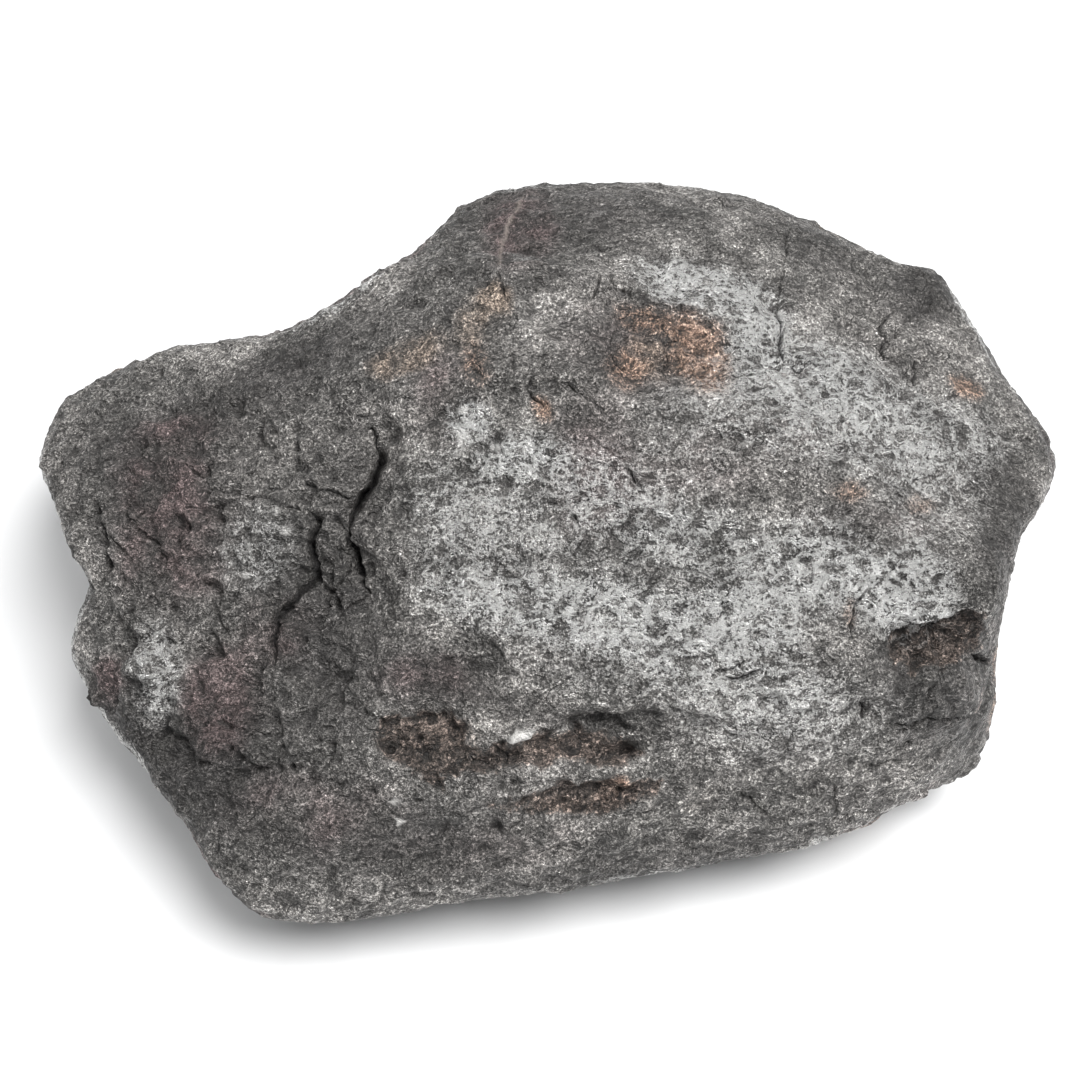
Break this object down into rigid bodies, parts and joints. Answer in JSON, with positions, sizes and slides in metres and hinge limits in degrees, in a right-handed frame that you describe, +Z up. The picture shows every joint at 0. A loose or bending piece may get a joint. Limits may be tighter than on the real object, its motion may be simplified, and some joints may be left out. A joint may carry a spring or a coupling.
{
  "type": "magnetite",
  "caption": "Massive magnetite stone: a heavy dark metallic grey weathered lump with a fissure, ledges and rust-brown pockets, resting on a small flat spot.",
  "frame": {"origin": "on the ground, under the middle of the stone's box", "axes": "+X along the stone's length to its blunt end, +Y to its back, +Z up"},
  "size_m": [0.1848, 0.1334, 0.0761],
  "materials": {
    "magnetite": "weathered, dull metallic grey with silvery sheen, purple-brown tint and rust-brown stains"
  },
  "bodies": {
    "root": {"magnetite": "magnetite"}
  },
  "joints": []
}
